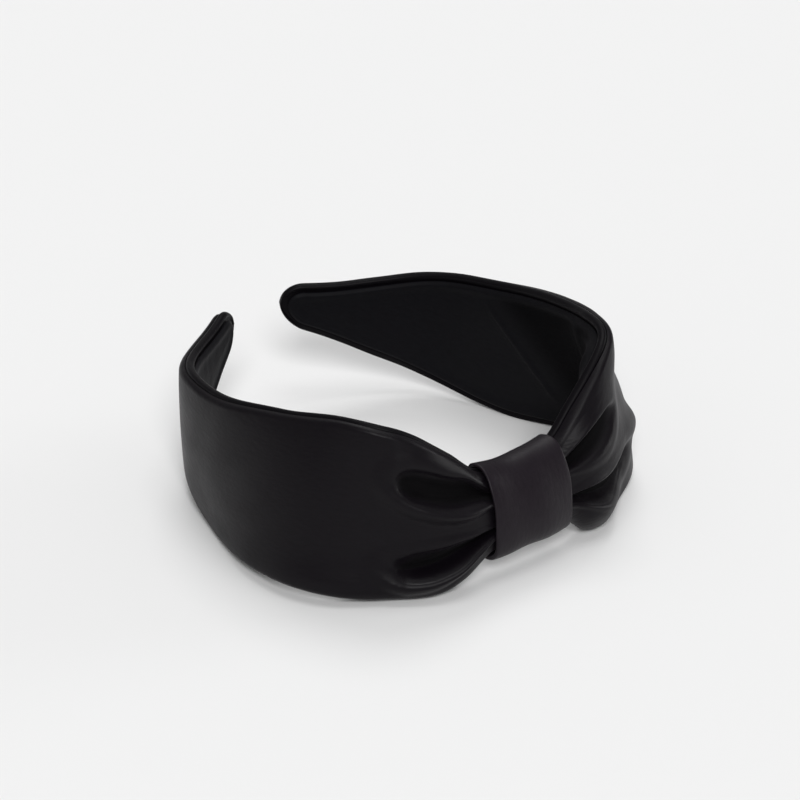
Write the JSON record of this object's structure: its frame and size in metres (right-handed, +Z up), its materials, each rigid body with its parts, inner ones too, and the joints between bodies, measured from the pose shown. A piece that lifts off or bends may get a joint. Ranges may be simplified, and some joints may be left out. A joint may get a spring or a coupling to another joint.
{
  "type": "knotted headband",
  "caption": "Wide padded satin headband on a springy plastic hoop, its cover gathered into pleats under a plain knot wrap at the front, tapering to round open tips.",
  "frame": {"origin": "centre of the bottom of the bounding box, on the surface that the headband lies on", "axes": "+Z up, along the band's width; +Y from the knot towards the open tips; +X towards the right arm as seen from the knot's side; the plane X = 0 is the mirror plane"},
  "size_m": [0.1432, 0.1419, 0.0592],
  "materials": {
    "satin": "black polyester satin, soft sheen",
    "lining_satin": "black lining satin, softer sheen",
    "hoop_plastic": "moulded black plastic",
    "foam": "thin charcoal sponge sheet",
    "thread": "black polyester thread"
  },
  "bodies": {
    "crown": {"core_crown": "hoop_plastic", "sleeve_crown": "satin", "lining_crown": "lining_satin", "cover_crown": "satin", "foam_crown_left": "foam", "foam_crown_right": "foam", "gathering_thread": "thread", "knot_wrap": "satin", "wrap_stitching": "thread"},
    "left_arm": {"core_left": "hoop_plastic", "sleeve_left": "satin", "lining_left": "lining_satin", "cover_left": "satin", "foam_left": "foam"},
    "right_arm": {"core_right": "hoop_plastic", "sleeve_right": "satin", "lining_right": "lining_satin", "cover_right": "satin", "foam_right": "foam"}
  },
  "joints": [
    {"name": "left_arm_flex", "type": "hinge", "parent": "crown", "child": "left_arm", "pos_m": [-0.04366, -0.06224, 0.0271], "axis": [0, 0, 1], "range_deg": [-3, 25], "stiffness_Nm_per_rad": 0.25},
    {"name": "right_arm_flex", "type": "hinge", "parent": "crown", "child": "right_arm", "pos_m": [0.04366, -0.06224, 0.0271], "axis": [0, 0, -1], "range_deg": [-3, 25], "stiffness_Nm_per_rad": 0.25}
  ]
}
